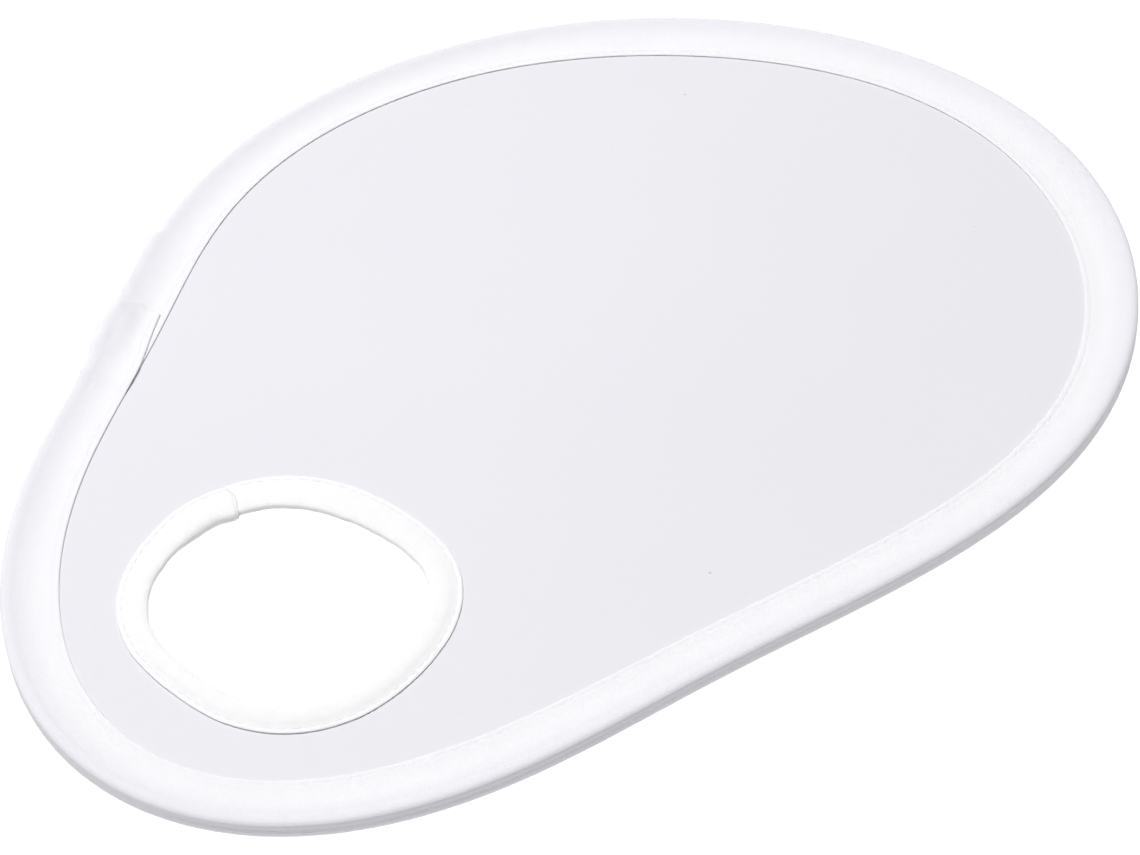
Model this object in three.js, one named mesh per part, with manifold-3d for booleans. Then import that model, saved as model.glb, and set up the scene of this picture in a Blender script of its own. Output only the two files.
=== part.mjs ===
// Pop-up lens-mount flash diffuser: a translucent sheet held open by a sprung steel hoop in a folded
// rim tape, with an elastic-edged hole that grips a camera lens. It lies flat here, opened out.
// Millimetres, +Z up, +X from the narrow lens end to the wide end, origin under the middle of the whole.
import * as THREE from "three";
import Module from "manifold-3d";
import { mergeVertices } from "three/addons/utils/BufferGeometryUtils.js";

const wasm = await Module();
wasm.setup();

// ---- driving dimensions ----
const slack = 0.05; // between layers that touch
const panel = { thick: 0.2, rimInset: 9.9, holeInset: 4.9 };

// Outer edge of the rim, as its distance from the middle at each angle: the even waves shape the egg, and
// the leaning ones are the lopsidedness of a hoop that springs open in soft tape.
const rimShape = { even: [127.5, 8.2, 19.8, -8.1, 2.3, -0.3], lean: [0, -1.7, -2.0, -3.0, 0.2, -0.3, 0.4, -0.35] };
const rimTape = { thick: 0.4, width: 13, hem: 3.2, lap: 22, start: 122.4 };
const rimStep = 9.5; // between sections on the plain stretches

// Fold edge of the lens hole: a circle that the elastic pulls a little square.
const holeShape = { x: -87.6, y: -0.7, radius: 30.1, oval: -1.5, skew: 0.35, lean: -0.45, square: -0.75 };
const holeTape = { thick: 0.4, width: 7.9, uneven: 1.25, widest: 31, spread: 0.8, hem: 2.1, lap: 11, start: 80 };
const holeStep = 5;

const band = { thick: 0.6, half: 1.4, inset: 0.7, overlap: 24 };
const sleeve = { wall: 0.25, length: 30, middle: 27.5 };
const wrap = { wall: 0.15, length: 41, middle: 27.5 };
const elastic = { width: 3, thick: 0.7, inset: 0.75, joint: 20 };
const tack = { wide: 2.2, long: 7, thick: 0.2, rows: 7 };
const thread = { size: 0.24, inset: 1.35 };

const sleeveEnds = [sleeve.middle - sleeve.length / 2, sleeve.middle + sleeve.length / 2];
const jointRise = slack + sleeve.wall + slack + wrap.wall; // how far the joint lifts the tape at top and bottom
const jointBulge = jointRise + band.thick + slack; // and how far it pushes the tape outwards

// ---- the two edges that everything follows ----
function rimRadius(a) {
  const even = rimShape.even.reduce((sum, size, k) => sum + size * Math.cos(k * a), 0);
  return rimShape.lean.reduce((sum, size, k) => sum + size * Math.sin(k * a), even);
}

function holeRadius(a) {
  const { radius, oval, skew, lean, square } = holeShape;
  const round = radius + oval * Math.cos(2 * a) + skew * Math.sin(2 * a);
  return round + lean * Math.sin(3 * a) + square * Math.cos(4 * a);
}

// A closed edge that is walked clockwise from a start angle. at(s) gives the point s millimetres along
// it and the direction in which the tape's fold faces.
function makeEdge(centre, radiusAt, startDegrees, foldSide) {
  const count = 2880;
  const start = THREE.MathUtils.degToRad(startDegrees);
  const points = [];
  for (let i = 0; i <= count; i++) {
    const a = start - (i / count) * 2 * Math.PI;
    const r = radiusAt(a);
    points.push(new THREE.Vector2(centre.x + r * Math.cos(a), centre.y + r * Math.sin(a)));
  }
  const along = [0];
  for (let i = 1; i <= count; i++) along.push(along[i - 1] + points[i].distanceTo(points[i - 1]));
  const length = along[count];
  function at(s) {
    const wrapped = ((s % length) + length) % length;
    let i = Math.min(count - 1, Math.floor((wrapped / length) * count));
    while (i > 0 && along[i] > wrapped) i--;
    while (i < count - 1 && along[i + 1] < wrapped) i++;
    const share = (wrapped - along[i]) / (along[i + 1] - along[i]);
    const point = points[i].clone().lerp(points[i + 1], share);
    const before = points[(i + count - 3) % count];
    const after = points[(i + 4) % count];
    const along2 = after.clone().sub(before).normalize();
    return { point, out: new THREE.Vector2(-along2.y * foldSide, along2.x * foldSide) };
  }
  return { at, length };
}

const rim = makeEdge({ x: 0, y: 0 }, rimRadius, rimTape.start, 1);
const hole = makeEdge(holeShape, holeRadius, holeTape.start, -1);

// ---- shape helpers ----
const smooth = (x, from, to) => THREE.MathUtils.smoothstep(x, from, to);

// Places along a run: its ends, the ones listed, and between them an even division of the whole edge,
// which is the same for every part so that their facets stay parallel.
function stations(edge, from, to, step, extra = []) {
  const pitch = edge.length / Math.round(edge.length / step);
  const all = [from, to, ...extra.filter((s) => s > from && s < to)];
  for (let k = Math.ceil(from / pitch); k * pitch < to; k++) {
    if (all.every((e) => Math.abs(e - k * pitch) > pitch * 0.3)) all.push(k * pitch);
  }
  return all.sort((a, b) => a - b);
}

// A solid through cross-sections, each a ring of [inset from the fold, height] at a place on the edge.
function loft(edge, places, sectionAt) {
  const rings = places.map((s) => {
    const { point, out } = edge.at(s);
    return sectionAt(s).map(([v, z]) => [point.x - v * out.x, point.y - v * out.y, z]);
  });
  const n = rings[0].length;
  const index = [];
  for (let k = 0; k + 1 < rings.length; k++) {
    for (let i = 0; i < n; i++) {
      const j = (i + 1) % n;
      const [a, b, c, d] = [k * n + i, k * n + j, (k + 1) * n + j, (k + 1) * n + i];
      index.push(a, b, c, a, c, d);
    }
  }
  const flat = sectionAt(places[0]).map(([v, z]) => new THREE.Vector2(v, z));
  const clockwise = THREE.ShapeUtils.area(flat) < 0;
  const last = (rings.length - 1) * n;
  for (const [a, b, c] of THREE.ShapeUtils.triangulateShape(flat, [])) {
    const turned = THREE.ShapeUtils.area([flat[a], flat[b], flat[c]]) < 0 !== clockwise;
    const [p, q] = turned ? [c, a] : [a, c];
    index.push(q, b, p, last + p, last + b, last + q);
  }
  return facingOut(rings.flat(2), index);
}

// The geometry with its faces turned outwards.
function facingOut(positions, index) {
  let volume = 0;
  const corner = (i) => new THREE.Vector3().fromArray(positions, i * 3);
  for (let i = 0; i < index.length; i += 3) {
    volume += corner(index[i]).dot(corner(index[i + 1]).cross(corner(index[i + 2])));
  }
  if (volume < 0) {
    for (let i = 0; i < index.length; i += 3) [index[i], index[i + 1]] = [index[i + 1], index[i]];
  }
  const geometry = new THREE.BufferGeometry();
  geometry.setAttribute("position", new THREE.Float32BufferAttribute(positions, 3));
  geometry.setIndex(index);
  return geometry;
}

function solid(geometry) {
  const bare = geometry.clone();
  bare.deleteAttribute("normal");
  bare.deleteAttribute("uv");
  const merged = mergeVertices(bare, 1e-4);
  const vertProperties = merged.attributes.position.array;
  return new wasm.Manifold(new wasm.Mesh({ numProp: 3, vertProperties, triVerts: new Uint32Array(merged.index.array) }));
}

function geometryOf(manifold) {
  const mesh = manifold.getMesh();
  const geometry = new THREE.BufferGeometry();
  geometry.setAttribute("position", new THREE.BufferAttribute(mesh.vertProperties.slice(), 3));
  geometry.setIndex(new THREE.BufferAttribute(mesh.triVerts.slice(), 1));
  return geometry;
}

const rectangle = (v0, v1, z0, z1) => [[v0, z0], [v1, z0], [v1, z1], [v0, z1]];

// A folded tape's section: its middle line, lifted outwards and thickened to both sides.
function foldedSection(middle, thick, lift) {
  const outer = shifted(middle, lift + thick / 2);
  const inner = shifted(middle, lift - thick / 2);
  return [...outer, ...inner.reverse()];
}

// A line moved sideways by a distance, with mitred corners.
function shifted(line, distance) {
  return line.map((here, i) => {
    const before = i > 0 ? unit(line[i - 1], here) : unit(here, line[1]);
    const after = i + 1 < line.length ? unit(here, line[i + 1]) : before;
    const mitre = distance / (1 + before[0] * after[0] + before[1] * after[1]);
    return [here[0] + (before[1] + after[1]) * mitre, here[1] - (before[0] + after[0]) * mitre];
  });
}

function unit(a, b) {
  const size = Math.hypot(b[0] - a[0], b[1] - a[1]);
  return [(b[0] - a[0]) / size, (b[1] - a[1]) / size];
}

// The upper half of a tape's middle line, mirrored below.
const bothFlanks = (upper) => [...upper, ...upper.map(([v, z]) => [v, -z]).reverse()];

// How far a tape's second layer stands off its first, which begins where s is 0.
const layerLift = (edge, tape, s) => (tape.thick + slack) * smooth(s, edge.length - 7, edge.length - 0.6);

// ---- the rim ----
// The hoop's joint lifts the tape over this stretch, on both of its layers.
function overJoint(s) {
  const half = wrap.length / 2;
  const near = (middle) => smooth(s, middle - half - 2.6, middle - half - 0.3) * smooth(-s, -middle - half - 2.6, -middle - half - 0.3);
  return near(wrap.middle) + near(wrap.middle + rim.length);
}

// The rim tape is sewn by hand and eye, so its hem wanders a little. The top layer's hem also draws back
// towards the fold as it nears its cut end.
function rimHem(s) {
  const a = (2 * Math.PI * s) / rim.length;
  const wide = -0.2 * Math.cos(a) - 0.75 * Math.cos(2 * a) + 0.3 * Math.cos(3 * a);
  const fine = 0.25 * Math.cos(4 * a) - 0.35 * Math.cos(6 * a) - 0.2 * Math.sin(2 * a);
  return rimTape.width + wide + fine - 1.8 * smooth(s, rim.length, rim.length + rimTape.lap);
}

const flankRise = panel.thick / 2 + slack + rimTape.thick / 2; // height of a hem's middle line

function rimSection(s) {
  const out = jointBulge * overJoint(s);
  const rise = jointRise * overJoint(s);
  const hem = rimHem(s);
  const upper = [
    [hem, flankRise],
    [hem - rimTape.hem, flankRise],
    [5.6 - 0.3 * out, 1.02 + 0.6 * rise],
    [2.0 - 0.8 * out, 1.84 + rise],
    [0.8 - out, 1.84 + rise],
    [0.2 - out, 1.44 + rise],
  ];
  return foldedSection(bothFlanks(upper), rimTape.thick, layerLift(rim, rimTape, s));
}

function rimTapeGeometry() {
  const joint = [-1, 1].flatMap((side) => [0.3, 1.4, 2.6].map((d) => wrap.middle + side * (wrap.length / 2 + d)));
  const lap = [rim.length - 7, rim.length - 4.5, rim.length - 2.4, rim.length - 0.6];
  const near = [...joint, ...sleeveEnds];
  const fine = [...near, ...lap, ...near.map((s) => s + rim.length)];
  return loft(rim, stations(rim, 0, rim.length + rimTape.lap, rimStep, fine), rimSection);
}

// The band's ends pass side by side in the joint, so the far end lies outside the near one.
function bandGeometry() {
  const start = sleeve.middle - band.overlap / 2;
  const end = start + rim.length + band.overlap;
  const section = (s) => {
    const outward = (band.thick + slack) * smooth(s, start + rim.length - 14, start + rim.length - 1);
    return rectangle(band.inset - outward, band.inset - outward + band.thick, -band.half, band.half);
  };
  const aside = [14, 9.5, 5.5, 1].map((d) => start + rim.length - d);
  return loft(rim, stations(rim, start, end, rimStep, [...aside, ...sleeveEnds]), section);
}

// A flattened tube round the doubled band.
function jointTube({ wall, length, middle }, gap) {
  const inner = gap + slack;
  const near = band.inset + band.thick + inner;
  const far = band.inset - band.thick - slack - inner;
  const half = band.half + inner;
  const places = stations(rim, middle - length / 2, middle + length / 2, rimStep, sleeveEnds);
  const longer = stations(rim, middle - length / 2 - 1, middle + length / 2 + 1, rimStep, sleeveEnds);
  const outside = loft(rim, places, () => rectangle(far - wall, near + wall, -half - wall, half + wall));
  const inside = loft(rim, longer, () => rectangle(far, near, -half, half));
  return geometryOf(solid(outside).subtract(solid(inside)));
}

// ---- the lens hole ----
// The hole's tape is wider on one side, and its top layer's hem draws back a little too.
function holeHem(s) {
  const a = THREE.MathUtils.degToRad(holeTape.start - holeTape.widest) - (2 * Math.PI * s) / hole.length;
  const wide = holeTape.uneven * Math.cos(a) + holeTape.spread * Math.cos(2 * a - 0.3);
  return holeTape.width + wide - 0.5 * smooth(s, hole.length, hole.length + holeTape.lap);
}

function holeSection(s) {
  const hem = holeHem(s);
  const upper = [[hem, flankRise], [hem - holeTape.hem, flankRise], [3.6, 0.8], [1.2, 0.8], [0.2, 0.4]];
  return foldedSection(bothFlanks(upper), holeTape.thick, layerLift(hole, holeTape, s));
}

function holeTapeGeometry() {
  const fine = [hole.length - 7, hole.length - 4.5, hole.length - 2.4, hole.length - 0.6];
  return loft(hole, stations(hole, 0, hole.length + holeTape.lap, holeStep, fine), holeSection);
}

// The elastic's ends butt together, and the tack thread zigzags across them.
function elasticGeometry() {
  const places = stations(hole, elastic.joint + 0.2, elastic.joint + hole.length - 0.2, holeStep);
  const half = elastic.thick / 2;
  return loft(hole, places, () => rectangle(elastic.inset, elastic.inset + elastic.width, -half, half));
}

function tackGeometry() {
  const from = elastic.joint - tack.long / 2;
  const places = Array.from({ length: tack.rows + 1 }, (_, i) => from + (tack.long * i) / tack.rows);
  const low = elastic.thick / 2 + slack;
  const middle = elastic.inset + elastic.width / 2;
  const section = (s) => {
    const side = Math.round(((s - from) / tack.long) * tack.rows) % 2 ? 1 : -1;
    const v = middle + (side * (tack.wide - 0.7)) / 2;
    return rectangle(v - 0.35, v + 0.35, low, low + 0.6 * tack.thick);
  };
  return loft(hole, places, section);
}

// ---- sewing threads ----
// A run of thread along a hem, on the needle side (1) or the bobbin side (-1).
function threadGeometry(edge, tape, hemAt, step, side) {
  const from = tape.lap + 0.8;
  const top = (s) => flankRise + tape.thick / 2 + layerLift(edge, tape, s) + slack;
  const section = (s) => {
    const v = hemAt(s) - thread.inset;
    const low = Math.min(side * top(s), side * (top(s) + thread.size));
    return rectangle(v - thread.size / 2, v + thread.size / 2, low, low + thread.size);
  };
  const fine = [edge.length - 7, edge.length - 4.5, edge.length - 2.4, edge.length - 0.6];
  return loft(edge, stations(edge, from, edge.length + tape.lap - 0.6, step, fine), section);
}

// ---- the sheet ----
function panelGeometry() {
  const edgePoints = (edge, step, inset) =>
    stations(edge, 0, edge.length, step).slice(0, -1).map((s) => {
      const { point, out } = edge.at(s);
      return point.sub(out.multiplyScalar(inset));
    });
  const shape = new THREE.Shape(edgePoints(rim, rimStep, panel.rimInset));
  shape.holes.push(new THREE.Path(edgePoints(hole, holeStep, panel.holeInset).reverse()));
  const geometry = new THREE.ExtrudeGeometry(shape, { depth: panel.thick, bevelEnabled: false, steps: 1 });
  return geometry.translate(0, 0, -panel.thick / 2);
}

// ---- materials and assembly ----
const cloth = (name, color, roughness) => new THREE.MeshStandardMaterial({ name, color, roughness, metalness: 0 });
const materials = {
  sheet: cloth("diffusion nylon", 0xeeedf2, 0.75),
  tape: cloth("white binding tape", 0xfbfbfe, 0.85),
  knit: cloth("stretch binding", 0xfcfcfc, 0.9),
  thread: cloth("white thread", 0xffffff, 0.7),
  rubber: cloth("braided elastic", 0xf2f0ea, 0.8),
  wrap: cloth("shrink tube", 0xdadade, 0.5),
  steel: new THREE.MeshStandardMaterial({ name: "spring steel", color: 0x8d9298, roughness: 0.35, metalness: 1 }),
};

const group = new THREE.Group();
function add(name, geometry, material) {
  const mesh = new THREE.Mesh(geometry, material);
  mesh.name = name;
  group.add(mesh);
}

add("diffusion_panel", panelGeometry(), materials.sheet);
add("rim_tape", rimTapeGeometry(), materials.tape);
add("spring_hoop", bandGeometry(), materials.steel);
add("hoop_joint_sleeve", jointTube(sleeve, 0), materials.steel);
add("hoop_joint_wrap", jointTube(wrap, sleeve.wall + slack), materials.wrap);
add("rim_needle_thread", threadGeometry(rim, rimTape, rimHem, rimStep, 1), materials.thread);
add("rim_bobbin_thread", threadGeometry(rim, rimTape, rimHem, rimStep, -1), materials.thread);
add("lens_hole_binding", holeTapeGeometry(), materials.knit);
add("lens_hole_elastic", elasticGeometry(), materials.rubber);
add("elastic_tack_thread", tackGeometry(), materials.thread);
add("hole_needle_thread", threadGeometry(hole, holeTape, holeHem, holeStep, 1), materials.thread);
add("hole_bobbin_thread", threadGeometry(hole, holeTape, holeHem, holeStep, -1), materials.thread);

// The origin goes under the middle of the whole, where it rests.
const box = new THREE.Box3().setFromObject(group, true);
const middle = box.getCenter(new THREE.Vector3());
group.position.set(-middle.x, -middle.y, -box.min.z);

export default group;
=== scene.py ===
import math

import bmesh
import bpy
import numpy as np
from mathutils import Matrix, Vector


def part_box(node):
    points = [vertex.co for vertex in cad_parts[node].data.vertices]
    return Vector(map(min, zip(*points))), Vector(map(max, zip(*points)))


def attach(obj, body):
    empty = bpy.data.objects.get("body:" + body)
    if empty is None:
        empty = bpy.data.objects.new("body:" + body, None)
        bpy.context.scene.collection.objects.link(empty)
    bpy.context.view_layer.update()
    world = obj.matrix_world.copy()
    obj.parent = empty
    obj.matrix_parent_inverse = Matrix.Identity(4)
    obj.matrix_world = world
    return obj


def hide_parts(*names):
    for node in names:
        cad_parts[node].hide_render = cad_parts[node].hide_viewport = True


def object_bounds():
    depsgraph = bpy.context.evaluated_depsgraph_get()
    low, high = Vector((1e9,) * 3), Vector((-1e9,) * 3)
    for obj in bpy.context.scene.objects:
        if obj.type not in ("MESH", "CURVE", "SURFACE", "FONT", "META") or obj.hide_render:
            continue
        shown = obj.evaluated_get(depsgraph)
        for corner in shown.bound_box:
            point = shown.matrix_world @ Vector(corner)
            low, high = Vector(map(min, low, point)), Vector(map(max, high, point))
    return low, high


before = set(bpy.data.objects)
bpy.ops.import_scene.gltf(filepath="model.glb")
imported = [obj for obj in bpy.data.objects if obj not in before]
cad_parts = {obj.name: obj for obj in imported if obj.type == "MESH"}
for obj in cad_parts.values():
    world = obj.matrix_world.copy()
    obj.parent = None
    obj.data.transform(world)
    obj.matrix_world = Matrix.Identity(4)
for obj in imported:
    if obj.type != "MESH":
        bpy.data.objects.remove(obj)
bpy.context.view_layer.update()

mm = 0.001

# The two edges that everything follows, in millimetres, as the CAD walks them from their start angles.
rimShape = {
    "even": (127.5, 8.2, 19.8, -8.1, 2.3, -0.3),
    "lean": (0, -1.7, -2.0, -3.0, 0.2, -0.3, 0.4, -0.35),
    "start": 122.4,
}
holeShape = {
    "x": -87.6, "y": -0.7, "radius": 30.1,
    "oval": -1.5, "skew": 0.35, "lean": -0.45, "square": -0.75,
    "start": 80,
}
edgePoints = 5761


def rimRadius(a):
    even = sum(size * np.cos(k * a) for k, size in enumerate(rimShape["even"]))
    return even + sum(size * np.sin(k * a) for k, size in enumerate(rimShape["lean"]))


def holeRadius(a):
    s = holeShape
    around = s["radius"] + s["oval"] * np.cos(2 * a) + s["skew"] * np.sin(2 * a)
    return around + s["lean"] * np.sin(3 * a) + s["square"] * np.cos(4 * a)


def makeEdge(centre, radiusAt, startDegrees, foldSide):
    a = math.radians(startDegrees) - np.linspace(0, 2 * math.pi, edgePoints)
    r = radiusAt(a)
    points = np.stack([centre[0] + r * np.cos(a), centre[1] + r * np.sin(a)], 1)
    steps = np.diff(points, axis=0)
    along = np.concatenate([[0], np.cumsum(np.hypot(steps[:, 0], steps[:, 1]))])
    loop = points[:-1]
    t = np.roll(loop, -4, 0) - np.roll(loop, 4, 0)
    t /= np.linalg.norm(t, axis=1)[:, None]
    out = np.stack([-t[:, 1], t[:, 0]], 1) * foldSide
    return {"along": along, "points": points, "out": np.vstack([out, out[:1]]), "length": along[-1]}


def onEdge(edge, s):  # the fold line at s, and the way the fold faces
    s = np.mod(s, edge["length"])
    at = [np.interp(s, edge["along"], edge["points"][:, k]) for k in (0, 1)]
    out = [np.interp(s, edge["along"], edge["out"][:, k]) for k in (0, 1)]
    return np.stack(at, -1), np.stack(out, -1)


rim = makeEdge((0, 0), rimRadius, rimShape["start"], 1)
hole = makeEdge((holeShape["x"], holeShape["y"]), holeRadius, holeShape["start"], -1)

# The sheet reaches under both hems, to these insets from the two folds.
sheetFacts = {"thick": 0.2, "rimInset": 9.9, "holeInset": 4.9, "spokes": 360, "rings": 64}

# The CAD stands its origin under the middle of the whole, and the sheet's box says where that is.
low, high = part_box("diffusion_panel")
walk, out = onEdge(rim, np.linspace(0, rim["length"], 1200))
outline = walk - sheetFacts["rimInset"] * out
shift = (np.array((low + high)[:2]) / 2 / mm) - (outline.min(0) + outline.max(0)) / 2
midHeight = (low.z + high.z) / 2 / mm
print("edges placed", shift.round(3), round(midHeight, 3))


def place(points):  # millimetres about the sheet's middle plane to metres in the frame
    return (np.asarray(points, float) + [shift[0], shift[1], midHeight]) * mm


def smooth(x, start, end):
    t = np.clip((np.asarray(x, float) - start) / (end - start), 0, 1)
    return t * t * (3 - 2 * t)


def wander(x, seed, pitch):  # a smooth random line, about -1 to 1, that never repeats in step
    turn = np.random.default_rng(seed).uniform(0, 2 * math.pi, 4)
    total = sum(np.sin(2 * math.pi * x / (pitch * k) + turn[i]) / w
                for i, (k, w) in enumerate(((1.0, 1.0), (0.618, 1.3), (1.73, 1.1), (0.37, 2.0))))
    return total / 2.2


# Materials.
def newMaterial(name):
    m = bpy.data.materials.new(name)
    m.use_nodes = True
    tree = m.node_tree
    shader = tree.nodes["Principled BSDF"]
    return m, tree, shader


def node(tree, kind, **values):
    n = tree.nodes.new(kind)
    for k, v in values.items():
        if k in n.inputs:
            n.inputs[k].default_value = v
        else:
            setattr(n, k, v)
    return n


def maths(tree, operation, a, b=None):
    n = tree.nodes.new("ShaderNodeMath")
    n.operation = operation
    for i, x in enumerate((a, b)):
        if x is None:
            continue
        if isinstance(x, (int, float)):
            n.inputs[i].default_value = x
        else:
            tree.links.new(x, n.inputs[i])
    return n.outputs[0]


def blendColours(tree, factor, first, second):
    n = node(tree, "ShaderNodeMix", data_type="RGBA")
    tree.links.new(factor, n.inputs["Factor"])
    for socket, x in ((n.inputs[6], first), (n.inputs[7], second)):
        if isinstance(x, tuple):
            socket.default_value = (*x, 1)
        else:
            tree.links.new(x, socket)
    return n.outputs[2]


def spread(tree, value, fromLow, fromHigh, toLow, toHigh):
    ends = {"From Min": fromLow, "From Max": fromHigh, "To Min": toLow, "To Max": toHigh}
    n = node(tree, "ShaderNodeMapRange", **ends)
    tree.links.new(value, n.inputs["Value"])
    return n.outputs["Result"]


def noise(tree, scale, detail=3.0, vector=None, rough=0.55):
    n = node(tree, "ShaderNodeTexNoise", Scale=scale, Detail=detail, Roughness=rough)
    if vector is None:
        vector = tree.nodes.new("ShaderNodeTexCoord").outputs["Object"]
    tree.links.new(vector, n.inputs["Vector"])
    return n.outputs["Fac"]


def bump(tree, shader, height, distance, strength=1.0):
    n = node(tree, "ShaderNodeBump", Distance=distance, Strength=strength)
    tree.links.new(height, n.inputs["Height"])
    tree.links.new(n.outputs["Normal"], shader.inputs["Normal"])


def attribute(tree, name):
    return node(tree, "ShaderNodeAttribute", attribute_name=name).outputs["Fac"]


def wave(tree, value, pitch):  # 0 to 1 and back once every pitch
    turned = maths(tree, "MULTIPLY", value, 2 * math.pi / pitch)
    return maths(tree, "MULTIPLY_ADD", maths(tree, "SINE", turned), 0.5)


def plainWeave(tree, alongPitch, acrossPitch):  # warp and weft passing over each other
    a = maths(tree, "SINE", maths(tree, "MULTIPLY", attribute(tree, "along"), math.pi / alongPitch))
    b = maths(tree, "SINE", maths(tree, "MULTIPLY", attribute(tree, "across"), math.pi / acrossPitch))
    return maths(tree, "ABSOLUTE", maths(tree, "MULTIPLY", a, b))


def tapeMaterial(name, bright, shade, pitch, sheen, edgeGreyness):
    m, tree, shader = newMaterial(name)
    weave = plainWeave(tree, pitch, pitch * 1.25)
    patches = noise(tree, 42.0, 4.0)
    fuzz = noise(tree, 2600.0, 2.0)
    # Darker over the hoop: partly the steel strip showing through the cloth, partly painted shade of the steep
    # outer slope.
    steelAndSlopeShade = spread(tree, attribute(tree, "overHoop"), 0, 1, 0, 1)
    cloudy = spread(tree, patches, 0.35, 0.7, 0.0, 1.0)
    base = blendColours(tree, cloudy, bright, tuple(0.985 * c for c in bright))
    base = blendColours(tree, steelAndSlopeShade, base, shade)
    # Painted shade in the gaps between the yarns.
    base = blendColours(tree, spread(tree, weave, 0.0, 0.35, 0.16, 0.0), base, tuple(0.86 * c for c in shade))
    # Greyer along the hems and at the cut end.
    edgeGrey = maths(tree, "MULTIPLY", attribute(tree, "edge"), edgeGreyness)
    base = blendColours(tree, edgeGrey, base, (0.62, 0.61, 0.64))
    tree.links.new(base, shader.inputs["Base Color"])
    tree.links.new(spread(tree, fuzz, 0.3, 0.7, 0.72, 0.92), shader.inputs["Roughness"])
    shader.inputs["Sheen Weight"].default_value = sheen
    shader.inputs["Sheen Roughness"].default_value = 0.4
    shader.inputs["Specular IOR Level"].default_value = 0.25
    shader.inputs["Subsurface Weight"].default_value = 0.5  # light soaks through the cloth's edges
    shader.inputs["Subsurface Radius"].default_value = (1, 1, 1)
    shader.inputs["Subsurface Scale"].default_value = 0.0005
    bump(tree, shader, maths(tree, "ADD", weave, maths(tree, "MULTIPLY", fuzz, 0.5)), 0.00004, 0.7)
    return m


def sheetMaterial(name, specks):
    m, tree, shader = newMaterial(name)
    where = tree.nodes.new("ShaderNodeTexCoord").outputs["Object"]
    clouds = noise(tree, 9.0, 2.0, where)
    grain = noise(tree, 900.0, 3.0, where)
    cloudy = spread(tree, clouds, 0.3, 0.7, 0.0, 1.0)
    base = blendColours(tree, cloudy, (0.733, 0.729, 0.761), (0.721, 0.717, 0.749))
    base = blendColours(tree, spread(tree, grain, 0.35, 0.65, 0.0, 0.05), base, (0.62, 0.61, 0.65))
    for x, y, size, dark in specks:  # small slubs in the yarn
        spot = tuple(place([x, y, 0]))
        far = node(tree, "ShaderNodeVectorMath", operation="DISTANCE")
        tree.links.new(where, far.inputs[0])
        far.inputs[1].default_value = spot
        mask = spread(tree, far.outputs["Value"], 0.3 * size * mm, size * mm, dark, 0.0)
        base = blendColours(tree, mask, base, (0.3, 0.3, 0.33))
    tree.links.new(base, shader.inputs["Base Color"])
    a = wave(tree, attribute(tree, "along"), 0.34)
    b = wave(tree, attribute(tree, "across"), 0.34)
    weave = maths(tree, "MULTIPLY", a, b)
    tree.links.new(spread(tree, grain, 0.3, 0.7, 0.5, 0.62), shader.inputs["Roughness"])
    shader.inputs["Sheen Weight"].default_value = 0.08
    shader.inputs["Specular IOR Level"].default_value = 0.3
    bump(tree, shader, maths(tree, "ADD", weave, grain), 0.00001, 0.5)
    return m


def threadMaterial(name, colour):
    m, tree, shader = newMaterial(name)
    where = tree.nodes.new("ShaderNodeTexCoord").outputs["Object"]
    strands = node(tree, "ShaderNodeTexWave", Scale=1400.0, Distortion=2.0,
                   wave_type="BANDS", bands_direction="DIAGONAL")
    tree.links.new(where, strands.inputs["Vector"])
    base = blendColours(tree, strands.outputs["Fac"], tuple(0.9 * c for c in colour), colour)
    tree.links.new(base, shader.inputs["Base Color"])
    shader.inputs["Roughness"].default_value = 0.55
    shader.inputs["Sheen Weight"].default_value = 0.2
    bump(tree, shader, strands.outputs["Fac"], 0.00003, 0.6)
    return m


def steelMaterial(name, colour, rough):
    m, tree, shader = newMaterial(name)
    where = tree.nodes.new("ShaderNodeTexCoord").outputs["Object"]
    stretch = node(tree, "ShaderNodeMapping", Scale=(1, 1, 14))
    tree.links.new(where, stretch.inputs["Vector"])
    lines = noise(tree, 420.0, 4.0, stretch.outputs["Vector"])
    stain = noise(tree, 30.0, 3.0, where)
    base = blendColours(tree, spread(tree, stain, 0.4, 0.75, 0, 0.5), colour, (0.30, 0.25, 0.22))
    tree.links.new(base, shader.inputs["Base Color"])
    tree.links.new(spread(tree, lines, 0.3, 0.7, rough - 0.08, rough + 0.12), shader.inputs["Roughness"])
    shader.inputs["Metallic"].default_value = 1.0
    bump(tree, shader, lines, 0.00002, 0.5)
    return m


def wrapMaterial(name, colour):
    m, tree, shader = newMaterial(name)
    crinkle = noise(tree, 700.0, 5.0)
    patches = noise(tree, 60.0, 3.0)
    base = blendColours(tree, patches, colour, tuple(0.88 * c for c in colour))
    tree.links.new(base, shader.inputs["Base Color"])
    tree.links.new(spread(tree, crinkle, 0.3, 0.7, 0.32, 0.5), shader.inputs["Roughness"])
    bump(tree, shader, crinkle, 0.00006, 0.6)
    return m


def braidMaterial(name, colour):
    m, tree, shader = newMaterial(name)
    where = tree.nodes.new("ShaderNodeTexCoord").outputs["Object"]
    cords = node(tree, "ShaderNodeTexWave", Scale=900.0, Distortion=1.0,
                 wave_type="RINGS", rings_direction="Z")
    tree.links.new(where, cords.inputs["Vector"])
    base = blendColours(tree, cords.outputs["Fac"], tuple(0.8 * c for c in colour), colour)
    tree.links.new(base, shader.inputs["Base Color"])
    shader.inputs["Roughness"].default_value = 0.8
    bump(tree, shader, cords.outputs["Fac"], 0.0001, 0.8)
    return m


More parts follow.
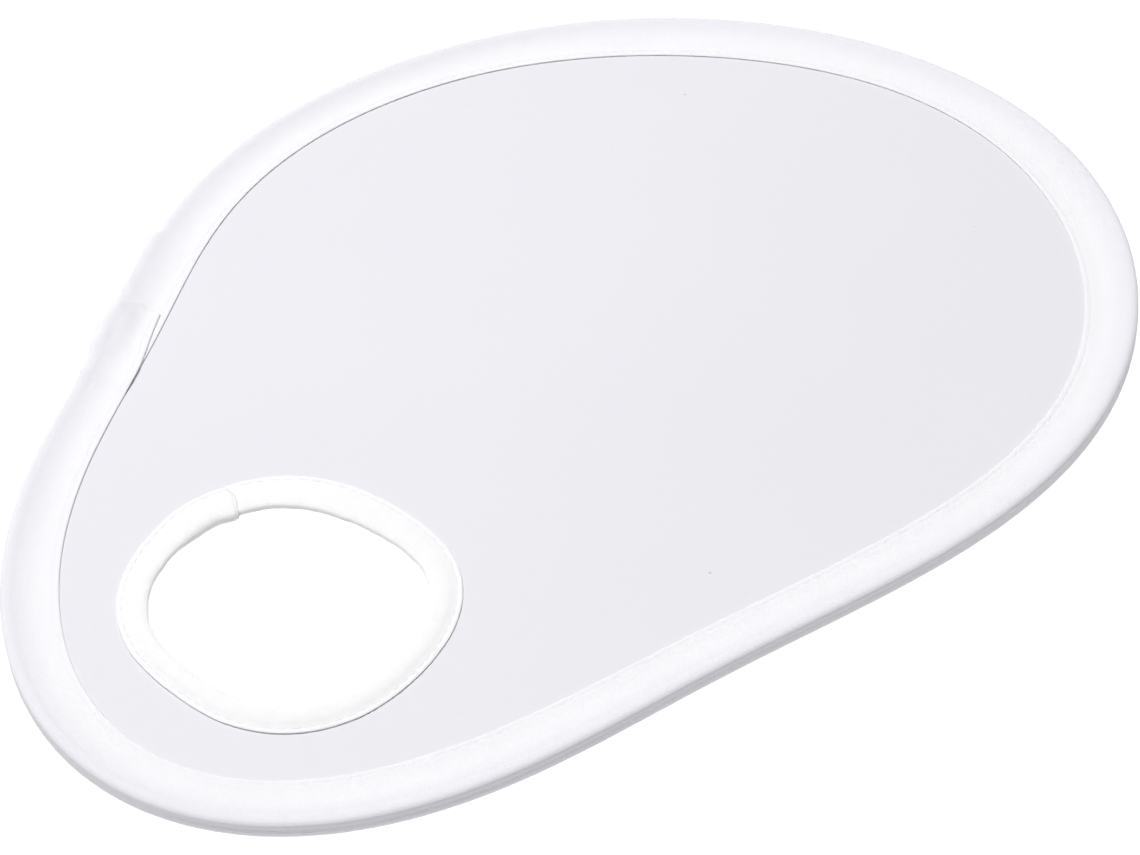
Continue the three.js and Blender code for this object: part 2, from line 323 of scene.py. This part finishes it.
# How a piece is made from points and faces.
def makePiece(name, points, faces, material, attributes=None):
    mesh = bpy.data.meshes.new(name)
    mesh.from_pydata([tuple(p) for p in points], [], faces)
    mesh.validate()
    for key, values in (attributes or {}).items():
        layer = mesh.attributes.new(key, "FLOAT", "POINT")
        layer.data.foreach_set("value", np.asarray(values, np.float32))
    mesh.polygons.foreach_set("use_smooth", [True] * len(mesh.polygons))
    mesh.materials.append(material)
    mesh.update()
    piece = bpy.data.objects.new(name, mesh)
    bpy.context.scene.collection.objects.link(piece)
    return piece


def sideways(lineV, lineZ, distance):  # each section's line moved outwards, with mitred corners
    dv, dz = np.diff(lineV, axis=1), np.diff(lineZ, axis=1)
    size = np.hypot(dv, dz)
    dv, dz = dv / size, dz / size
    before = [np.concatenate([d[:, :1], d], 1) for d in (dv, dz)]
    after = [np.concatenate([d, d[:, -1:]], 1) for d in (dv, dz)]
    mitre = distance / np.maximum(0.6, 1 + before[0] * after[0] + before[1] * after[1])
    return lineV + (before[1] + after[1]) * mitre, lineZ - (before[0] + after[0]) * mitre


def ribbon(edge, s, lineV, lineZ, thick, lift, slide=None):
    # A closed band of cloth: s is where each section stands, lineV and lineZ its middle line, thick its
    # thickness and lift how far it stands off what is under it. slide moves points along the edge.
    outerV, outerZ = sideways(lineV, lineZ, lift + thick / 2)
    innerV, innerZ = sideways(lineV, lineZ, lift - thick / 2)
    v = np.concatenate([outerV, innerV[:, ::-1]], 1)
    z = np.concatenate([outerZ, innerZ[:, ::-1]], 1)
    count, ring = v.shape
    station = np.repeat(s[:, None], ring, 1)
    if slide is not None:
        station = station + np.concatenate([slide, slide[:, ::-1]], 1)
    at, out = onEdge(edge, station)
    x, y = at[..., 0] - v * out[..., 0], at[..., 1] - v * out[..., 1]
    points = place(np.stack([x, y, z], -1)).reshape(-1, 3)
    k, i = np.meshgrid(np.arange(count - 1), np.arange(ring), indexing="ij")
    j = (i + 1) % ring
    quads = np.stack([k * ring + i, (k + 1) * ring + i, (k + 1) * ring + j, k * ring + j], -1).reshape(-1, 4)
    caps = []
    last = (count - 1) * ring
    for i in range(ring // 2 - 1):
        a, b, c, d = i, i + 1, ring - 2 - i, ring - 1 - i
        caps.append((a, b, c, d))
        caps.append((last + d, last + c, last + b, last + a))
    return points, [tuple(q) for q in quads.tolist()] + caps, v, z, station


def crispEdges(piece, ring):  # the cloth's two raw edges and its cut ends stay square
    smoothed = np.ones(len(piece.data.polygons), bool)
    quads = len(smoothed) - (ring // 2 - 1) * 2
    index = np.arange(quads) % ring
    smoothed[:quads] = (index != ring - 1) & (index != ring // 2 - 1)
    smoothed[quads:] = False
    piece.data.polygons.foreach_set("use_smooth", smoothed.tolist())


def fixFacing(piece):
    b = bmesh.new()
    b.from_mesh(piece.data)
    bmesh.ops.recalc_face_normals(b, faces=b.faces)
    b.to_mesh(piece.data)
    b.free()


# The rim tape, and the bulge of the hoop's joint in it.
rimTape = {"thick": 0.4, "width": 13.0, "lap": 22.0, "gap": 0.05, "seam": 1.35, "step": 1.0}
joint = {"middle": 27.5, "half": 20.5, "out": 1.15, "rise": 0.5}


def layerLift(edge, tape, s):  # the second layer climbs onto the first
    return (tape["thick"] + tape["gap"]) * smooth(s, edge["length"] - 7, edge["length"] - 0.6)


def overJoint(s):  # 1 over the joint and 0 away from it, on both layers of the tape
    def near(middle):
        rising = smooth(s, middle - joint["half"] - 5, middle - joint["half"] + 1.5)
        return rising * smooth(-s, -middle - joint["half"] - 2.6, -middle - joint["half"] - 0.3)

    return near(joint["middle"]) + near(joint["middle"] + rim["length"])


def rimHem(s):  # sewn by hand and eye, so it wanders; the top layer draws back towards its cut end
    a = 2 * math.pi * s / rim["length"]
    wide = -0.2 * np.cos(a) - 0.75 * np.cos(2 * a) + 0.3 * np.cos(3 * a)
    fine = 0.25 * np.cos(4 * a) - 0.35 * np.cos(6 * a) - 0.2 * np.sin(2 * a)
    return rimTape["width"] + wide + fine - 1.8 * smooth(s, rim["length"], rim["length"] + rimTape["lap"])


# The upper flank before the joint lifts it: how far in from the hem, or from the fold, and how high.
hemPart = [
    (0.0, 0.27), (0.12, 0.31), (0.4, 0.345), (0.8, 0.36), (1.1, 0.355), (1.35, 0.35),
    (1.6, 0.355), (1.95, 0.36), (2.5, 0.37), (3.1, 0.36),
]
foldPart = [
    (9.0, 0.41), (8.2, 0.49), (7.4, 0.60), (6.6, 0.74), (5.8, 0.91), (5.0, 1.10), (4.3, 1.28),
    (3.7, 1.45), (3.1, 1.62), (2.6, 1.75), (2.2, 1.84), (1.8, 1.90), (1.4, 1.93), (1.05, 1.92),
    (0.75, 1.84), (0.5, 1.71), (0.32, 1.55), (0.22, 1.36), (0.2, 1.0), (0.2, 0.5),
]


def groove(s, fromHem):  # what the seam draws in, deepest at the wide end
    wideEnd = 0.5 + 0.5 * np.cos(2 * math.pi * (s - 270) / rim["length"])
    return (0.45 + 0.55 * wideEnd) * np.exp(-((fromHem - rimTape["seam"]) / 0.28) ** 2)


def rimLines(s):
    s = s[:, None]
    hem = rimHem(s)
    a, b = np.array(hemPart), np.array(foldPart)
    v0 = np.concatenate([rimTape["width"] - a[:, 0], b[:, 0]])[None]
    z0 = np.concatenate([a[:, 1], b[:, 1]])[None]
    # the hem part moves as one, and the flank shortens
    pull = (rimTape["width"] - hem) * np.interp(v0, [2.2, 9.6], [0, 1])
    bulge = overJoint(s)
    outward = joint["out"] * bulge * np.interp(v0, [0.8, 2.0, 5.6, 9.8], [1, 0.8, 0.3, 0])
    rise = joint["rise"] * bulge * np.interp(v0, [2.0, 5.6, 9.8], [1, 0.6, 0])
    v = v0 - pull - outward
    z = z0 + rise
    # cross-wise puckers where the tape is eased round the hoop, stronger along the straighter side
    straight = 0.35 + 0.65 * smooth(np.cos(2 * math.pi * (s - 520) / rim["length"]), 0.3, 0.95)
    across = smooth(v0, 1.2, 4.0) * (1 - smooth(v0, 11.2, 12.2))
    slant = s + 0.5 * (v0 - 6)
    z = z + 0.035 * straight * across * wander(slant, 3, 7.5) + 0.02 * across * wander(slant, 4, 3.1)
    second = smooth(s, rim["length"] + 5, rim["length"] + 14)
    ruck = (0.15 * bulge * (1 - 0.7 * second) * smooth(v0, 0.9, 2.5) * (1 - smooth(v0, 5.5, 8.5))
            * (wander(s + 0.5 * v0, 5, 8.3) - 0.2))
    # the top layer stands off in a puff below its cut end, with a dent beside the hoop's sleeve
    lapped = s - rim["length"]
    puff = np.exp(-((lapped - 15) / 4.5) ** 2)
    puff = puff * (1 - smooth(s, rim["length"] + 16, rim["length"] + rimTape["lap"]))
    ruck = ruck + 0.22 * puff * np.exp(-((v0 - 4.8) / 2.8) ** 2) + 0.12 * puff * (1 - smooth(v0, 1.0, 4.0))
    ruck = ruck - 0.2 * np.exp(-((lapped - 10.5) / 1.8) ** 2 - ((v0 - 3.6) / 1.1) ** 2)
    v = v - 0.9 * puff * (1 - smooth(v0, 0.8, 4.5))
    v = v + 0.06 * (0.4 + bulge) * (1 - smooth(v0, 0.6, 2.5)) * wander(s, 6, 8.7)
    z = z - 0.04 * groove(s, rimTape["width"] - v0)
    # a faint long crease inside the ridge, deepest round the narrow end
    crease = 0.05 * (0.6 + 0.4 * wander(s, 8, 60)) + 0.2 * np.exp(-((s - 640) / 90) ** 2)
    z = z - crease * np.exp(-((v0 - 3.3) / 0.8) ** 2)
    below = -z + 0.1 * bulge * smooth(v0, 0.9, 2.5) * (1 - smooth(v0, 6.5, 9.5))
    return np.concatenate([v, v[:, ::-1]], 1), np.concatenate([z + ruck, below[:, ::-1]], 1)


def buildRimTape():
    whole = rim["length"]
    end = whole + rimTape["lap"]
    # sections stand closer together over the joint and at the lap
    s = np.unique(np.round(np.concatenate([
        np.arange(0, end, rimTape["step"]), np.arange(0, 50, 0.5), np.arange(whole - 9, end, 0.4), [end]]), 3))
    hemNow = rimHem(s)[:, None]
    v, z = rimLines(s)
    lift = layerLift(rim, rimTape, s)[:, None]
    free = smooth(s, end - 5, end)[:, None]  # towards the cut end
    flutter = 0.04 + 0.10 * wander(0.7 * v + 0.4 * s[:, None], 11, 4.7)
    z = z + np.sign(z) * free * flutter * smooth(v, 0.5, 2.0) * (1 - smooth(v, 9.0, 10.5))
    tongue = 1.9 * np.exp(-((v - 4.6) / 2.6) ** 2)
    slide = free * (tongue + 0.3 * wander(v, 12, 2.9) + 0.12 * wander(v, 13, 1.2))
    start = 1 - smooth(s, 0, 3)[:, None]
    slide = slide + start * 0.25 * wander(v, 14, 2.1)
    edgeFade = np.minimum(np.abs(hemNow - v), 1.0)
    thick = rimTape["thick"] * np.interp(edgeFade, [0, 0.12, 0.4], [0.55, 0.85, 1.0])
    thick = thick * (1 - 0.22 * groove(s[:, None], hemNow - v))
    points, faces, allV, allZ, station = ribbon(rim, s, v, z, thick, lift, slide)
    # Mask of the darker band over the hoop: partly the steel showing through, partly painted shade of the
    # outer slope.
    overHoop = (1 - smooth(allV, 1.5, 8.5)) * smooth(allV, -3, 1.0)
    edge = 1 - smooth(hemNow - allV, 0.0, 0.35)
    edge = np.maximum(edge, smooth(station, end - 0.6, end + 0.6))
    attributes = {"along": station.ravel(), "across": (allV + np.sign(allZ) * 20).ravel(),
                  "overHoop": overHoop.ravel(), "edge": edge.ravel()}
    material = tapeMaterial("white binding tape", bright=(0.838, 0.835, 0.856),
                            shade=(0.765, 0.758, 0.795), pitch=0.42, sheen=0.15, edgeGreyness=0.1)
    piece = makePiece("rim_tape_cloth", points, faces, material, attributes)
    fixFacing(piece)
    crispEdges(piece, allV.shape[1])
    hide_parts("rim_tape")
    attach(piece, "root")
    return piece


rimCloth = buildRimTape()
print("rim tape", len(rimCloth.data.polygons))

# The lens hole's binding. Its section is given at the drawn width, and the hem then moves to its own place.
holeTape = {
    "thick": 0.4, "width": 7.9, "uneven": 1.25, "widest": 31, "spread": 0.8, "drawn": 8.0,
    "lap": 11.0, "gap": 0.05, "seam": 1.25, "step": 0.5,
}
holeHemPart = [
    (0.0, 0.28), (0.1, 0.31), (0.4, 0.35), (0.7, 0.35), (1.0, 0.30), (1.25, 0.26),
    (1.5, 0.31), (1.8, 0.38), (2.1, 0.43),
]
holeFoldPart = [
    (5.4, 0.58), (4.9, 0.70), (4.3, 0.80), (3.6, 0.86), (2.9, 0.88), (2.2, 0.88),
    (1.6, 0.85), (1.1, 0.78), (0.7, 0.67), (0.4, 0.52), (0.24, 0.34), (0.2, 0.14),
]


def holeHem(s):  # wider on one side
    a = math.radians(holeShape["start"] - holeTape["widest"]) - 2 * math.pi * s / hole["length"]
    wide = holeTape["uneven"] * np.cos(a) + holeTape["spread"] * np.cos(2 * a - 0.3)
    return holeTape["width"] + wide - 0.5 * smooth(s, hole["length"], hole["length"] + holeTape["lap"])


def holeLines(s):
    s = s[:, None]
    a, b = np.array(holeHemPart), np.array(holeFoldPart)
    v0 = np.concatenate([holeTape["drawn"] - a[:, 0], b[:, 0]])[None]
    z0 = np.concatenate([a[:, 1], b[:, 1]])[None]
    v = v0 - (holeTape["drawn"] - holeHem(s)) * np.interp(v0, [1.0, 5.9], [0, 1])
    body = 1 - smooth(v0, 5.0, 6.4)
    # gathers from the elastic: short rolls across the tape, and a little wander of both edges
    gathers = 0.055 * wander(s + 0.25 * v0, 21, 5.2) + 0.03 * wander(s, 22, 2.3)
    z = z0 + body * smooth(v0, 0.2, 1.4) * gathers
    v = v + 0.12 * (1 - smooth(v0, 0.5, 3.0)) * wander(s, 23, 11.0)
    v = v + 0.05 * smooth(v0, 5.0, 7.4) * wander(s, 24, 13.0)
    under = np.stack([v, -z])[:, :, ::-1]
    return np.concatenate([v, under[0]], 1), np.concatenate([z, under[1]], 1)


def buildHoleTape():
    whole = hole["length"]
    end = whole + holeTape["lap"]
    s = np.unique(np.round(np.concatenate([
        np.arange(0, end, holeTape["step"]), np.arange(whole - 8, end, 0.25), [end]]), 3))
    hemNow = holeHem(s)[:, None]
    v, z = holeLines(s)
    lift = layerLift(hole, holeTape, s)[:, None]
    # the cut end is pressed thin on the layer under it, and its corner pokes a little into the hole
    free = smooth(s, end - 2.5, end)[:, None]
    pressed = smooth(s, end - 1.6, end)[:, None]
    v = v - 0.55 * smooth(s, end - 6, end - 1)[:, None] * (1 - smooth(v, 0.6, 3.0))
    slide = free * (0.12 * wander(v, 25, 2.6) - 0.7 * (np.abs(v - 4.5) / 4) ** 2)
    fade = np.minimum(np.abs(hemNow - v), 1.0)
    thick = holeTape["thick"] * np.interp(fade, [0, 0.1, 0.35], [0.5, 0.85, 1.0]) * (1 - 0.6 * pressed)
    lift = lift - 0.12 * pressed
    points, faces, allV, allZ, station = ribbon(hole, s, v, z, thick, lift, slide)
    edge = 1 - smooth(hemNow - allV, 0.0, 0.3)
    attributes = {"along": station.ravel(), "across": (allV + np.sign(allZ) * 20).ravel(),
                  "overHoop": np.zeros(allV.size), "edge": edge.ravel()}
    material = tapeMaterial("stretch binding", bright=(0.87, 0.87, 0.874), shade=(0.80, 0.80, 0.82),
                            pitch=0.5, sheen=0.2, edgeGreyness=0.06)
    piece = makePiece("lens_hole_cloth", points, faces, material, attributes)
    fixFacing(piece)
    crispEdges(piece, allV.shape[1])
    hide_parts("lens_hole_binding")
    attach(piece, "root")
    return piece


holeCloth = buildHoleTape()
print("hole binding", len(holeCloth.data.polygons))


# The sheet.
def buildSheet():
    centre = np.array([holeShape["x"], holeShape["y"]])

    def rayLengths(edge, inset, angles):
        at, out = onEdge(edge, np.linspace(0, edge["length"], 4001)[:-1])
        p = at - inset * out - centre
        a = np.unwrap(np.arctan2(p[:, 1], p[:, 0]))
        order = np.argsort(np.mod(a, 2 * math.pi))
        a, r = np.mod(a, 2 * math.pi)[order], np.hypot(p[:, 0], p[:, 1])[order]
        return np.interp(angles, a, r, period=2 * math.pi)

    n, rings = sheetFacts["spokes"], sheetFacts["rings"]
    angles = np.linspace(0, 2 * math.pi, n, endpoint=False)
    near = rayLengths(hole, sheetFacts["holeInset"], angles)
    far = rayLengths(rim, sheetFacts["rimInset"], angles)
    t = np.linspace(0, 1, rings + 1)
    t = t - 0.04 * np.sin(2 * math.pi * t)  # rings closer together near both edges
    r = near[None] + (far - near)[None] * t[:, None]
    x, y = centre[0] + r * np.cos(angles), centre[1] + r * np.sin(angles)
    fromHole = r - near[None]
    fromRim = far[None] - r
    # hardly any relief: it is stretched, with faint draws at the stitching and a shallow slackness between
    draws = 0.05 * wander(np.degrees(angles)[None] * 0.62, 31, 9.0) * np.exp(-((fromHole - 7) / 5) ** 2)
    draws = draws + 0.03 * wander((far * angles)[None], 32, 11.0) * np.exp(-((fromRim - 8) / 4) ** 2)
    slack = 0.12 * np.sin(x / 47.0 + 0.7) * np.sin(y / 39.0 + 1.1)
    slack = slack * smooth(fromHole, 3, 40) * smooth(fromRim, 3.5, 40)
    z = (draws * smooth(fromHole, 2.6, 5) * smooth(fromRim, 3.4, 6)) + slack
    half = sheetFacts["thick"] / 2
    top = np.stack([x, y, z + half], -1).reshape(-1, 3)
    under = np.stack([x, y, z - half], -1).reshape(-1, 3)
    count = len(top)
    k, i = np.meshgrid(np.arange(rings), np.arange(n), indexing="ij")
    j = (i + 1) % n
    face = np.stack([k * n + i, (k + 1) * n + i, (k + 1) * n + j, k * n + j], -1).reshape(-1, 4)
    faces = face.tolist() + (face[:, ::-1] + count).tolist()
    i = np.arange(n)
    j = (i + 1) % n
    faces += np.stack([i, j, count + j, count + i], -1).tolist()
    last = rings * n
    faces += np.stack([last + j, last + i, count + last + i, count + last + j], -1).tolist()
    points = place(np.concatenate([top, under]))
    attributes = {"along": np.concatenate([x.ravel()] * 2), "across": np.concatenate([y.ravel()] * 2)}
    specks = [(106.4, 35.5, 0.45, 0.5), (103.4, -53.4, 0.35, 0.25), (-27.7, -70.7, 0.5, 0.5)]
    material = sheetMaterial("diffusion nylon", specks)
    piece = makePiece("diffusion_sheet", points, faces, material, attributes)
    fixFacing(piece)
    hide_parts("diffusion_panel")
    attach(piece, "root")
    cell = 0.5 * (far ** 2 - near ** 2) * (2 * math.pi / n)
    return piece, float(cell.sum())


sheetPiece, sheetArea = buildSheet()
low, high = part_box("diffusion_panel")
print("sheet", round(sheetArea), "square mm")


# Sewing. Each ring of a stitch stands so far along it, and is so fat and so high.
thread = threadMaterial("white sewing thread", (0.84, 0.84, 0.86))
rimSeam = {
    "edge": rim, "hem": rimHem, "tape": rimTape,
    "pitch": 2.7, "length": 2.4, "thick": 0.22, "height": 0.42,
}
holeSeam = {
    "edge": hole, "hem": holeHem, "tape": holeTape,
    "pitch": 2.4, "length": 2.1, "thick": 0.22, "height": 0.43,
}
stitchRings = [
    (-1.0, 0.25, -0.30), (-0.82, 0.75, -0.10), (-0.4, 1.0, 0.04), (0.0, 1.0, 0.07),
    (0.4, 1.0, 0.04), (0.82, 0.75, -0.10), (1.0, 0.25, -0.30),
]
stitchSides = 8


def sew(name, seam, side, replaced):
    # separate stitches in the groove, each a short grain of thread whose ends dip into the cloth
    edge, tape, thick = seam["edge"], seam["tape"], seam["thick"]
    start, end = tape["lap"] + 1.2, edge["length"] + tape["lap"] - 1.4
    count = int((end - start) / seam["pitch"])
    turn = np.arange(stitchSides) * 2 * math.pi / stitchSides
    points, faces = [], []
    chance = np.random.default_rng(len(name))
    for c in range(count):
        middle = start + (end - start) * (c + 0.5) / count
        reach = seam["length"] / 2 * chance.uniform(0.94, 1.03)
        drift = chance.normal(0, 0.03)
        base = len(points)
        for t, fat, rise in stitchRings:
            s = middle + t * reach
            at, out = onEdge(edge, s)
            v = float(seam["hem"](s)) - tape["seam"] + drift + 0.05 * t
            z = seam["height"] + float(layerLift(edge, tape, np.array(s))) + rise * thick
            for a in turn:
                w = v + 0.5 * thick * fat * math.cos(a)
                h = side * (z + 0.42 * thick * fat * math.sin(a))
                points.append((at[0] - w * out[0], at[1] - w * out[1], h))
        for k in range(len(stitchRings) - 1):
            here = base + k * stitchSides
            there = here + stitchSides
            for i in range(stitchSides):
                j = (i + 1) % stitchSides
                faces.append((here + i, here + j, there + j, there + i))
        faces.append(tuple(base + i for i in reversed(range(stitchSides))))
        faces.append(tuple(there + i for i in range(stitchSides)))
    piece = makePiece(name, place(points), faces, thread)
    fixFacing(piece)
    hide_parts(replaced)
    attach(piece, "root")
    print(name, count, "stitches")
    return piece


sew("rim_needle_stitches", rimSeam, 1, "rim_needle_thread")
sew("rim_bobbin_stitches", rimSeam, -1, "rim_bobbin_thread")
sew("hole_needle_stitches", holeSeam, 1, "hole_needle_thread")
sew("hole_bobbin_stitches", holeSeam, -1, "hole_bobbin_thread")


# What the CAD already shapes: the hoop, its joint and the elastic.
def finishNode(name, material):
    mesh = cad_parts[name].data
    mesh.materials.clear()
    mesh.materials.append(material)


finishNode("spring_hoop", steelMaterial("tempered strip", (0.50, 0.51, 0.53), 0.34))
finishNode("hoop_joint_sleeve", steelMaterial("crimped tube", (0.60, 0.60, 0.61), 0.42))
finishNode("hoop_joint_wrap", wrapMaterial("pale shrink tube", (0.72, 0.72, 0.74)))
finishNode("lens_hole_elastic", braidMaterial("braided elastic", (0.80, 0.79, 0.76)))
finishNode("elastic_tack_thread", thread)
print("carried nodes finished")


# Floor, light and camera.
def buildFloor():
    mesh = bpy.data.meshes.new("floor")
    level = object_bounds()[0][2]  # at the lowest fold of cloth
    reach = 6
    corners = [(-reach, -reach, level), (reach, -reach, level), (reach, reach, level), (-reach, reach, level)]
    mesh.from_pydata(corners, [], [(0, 1, 2, 3)])
    m, tree, shader = newMaterial("pale floor")
    patches = noise(tree, 3.0, 2.0)
    base = blendColours(tree, patches, (0.24, 0.24, 0.24), (0.26, 0.26, 0.26))
    tree.links.new(base, shader.inputs["Base Color"])
    shader.inputs["Roughness"].default_value = 0.9
    shader.inputs["Specular IOR Level"].default_value = 0.1
    shader.inputs["Emission Color"].default_value = (1, 1, 1, 1)
    shader.inputs["Emission Strength"].default_value = 0.95  # a lit white table
    mesh.materials.append(m)
    floor = bpy.data.objects.new("floor", mesh)
    bpy.context.scene.collection.objects.link(floor)


def areaLight(name, position, target, width, height, watts, colour=(1, 1, 1)):
    data = bpy.data.lights.new(name, "AREA")
    data.shape = "RECTANGLE"
    data.size, data.size_y = width, height
    data.energy = watts
    data.color = colour
    lamp = bpy.data.objects.new(name, data)
    bpy.context.scene.collection.objects.link(lamp)
    lamp.location = position
    lamp.rotation_euler = (Vector(target) - Vector(position)).to_track_quat("-Z", "Y").to_euler()


def buildLight():
    world = bpy.data.worlds.new("studio")
    bpy.context.scene.world = world
    world.use_nodes = True
    back = world.node_tree.nodes["Background"]
    back.inputs["Color"].default_value = (0.97, 0.96, 1.0, 1)
    back.inputs["Strength"].default_value = 0.18
    areaLight("overhead", (0.0, 0.38, 1.5), (0.0, 0.0, 0), 0.9, 0.9, 27.2, (1.0, 0.996, 1.0))
    areaLight("from_the_left", (-0.9, 0.75, 0.55), (0, 0, 0), 0.7, 0.5, 0.3, (1.0, 0.998, 1.0))
    bpy.context.scene.view_settings.view_transform = "Standard"
    bpy.context.scene.view_settings.look = "None"


def buildCamera():
    facts = {
        "turn": -0.870256, "tilt": 0.739339, "roll": -0.068440, "distance": 852.2, "aim": (-3.05, -22.31),
        "lens": 118.2, "shift": (-0.0285701754, -0.00201754386),
    }
    az, el, roll = facts["turn"], facts["tilt"], facts["roll"]
    back = Vector((math.sin(az) * math.cos(el), -math.cos(az) * math.cos(el), math.sin(el)))
    right = Vector((math.cos(az), math.sin(az), 0))
    up = right.cross(-back)
    rolledRight = math.cos(roll) * right + math.sin(roll) * up
    rolledUp = -math.sin(roll) * right + math.cos(roll) * up
    aim = Vector(place([facts["aim"][0], facts["aim"][1], 0]))
    spot = aim + back * facts["distance"] * mm
    data = bpy.data.cameras.new("camera")
    data.lens = facts["lens"]
    data.sensor_width = 36
    data.shift_x, data.shift_y = facts["shift"]
    data.clip_start, data.clip_end = 0.05, 20
    camera = bpy.data.objects.new("camera", data)
    camera.matrix_world = Matrix([*zip(rolledRight, rolledUp, back, spot), (0, 0, 0, 1)])
    bpy.context.scene.collection.objects.link(camera)
    bpy.context.scene.camera = camera


buildFloor()
buildLight()
buildCamera()
print("floor, light and camera ready")
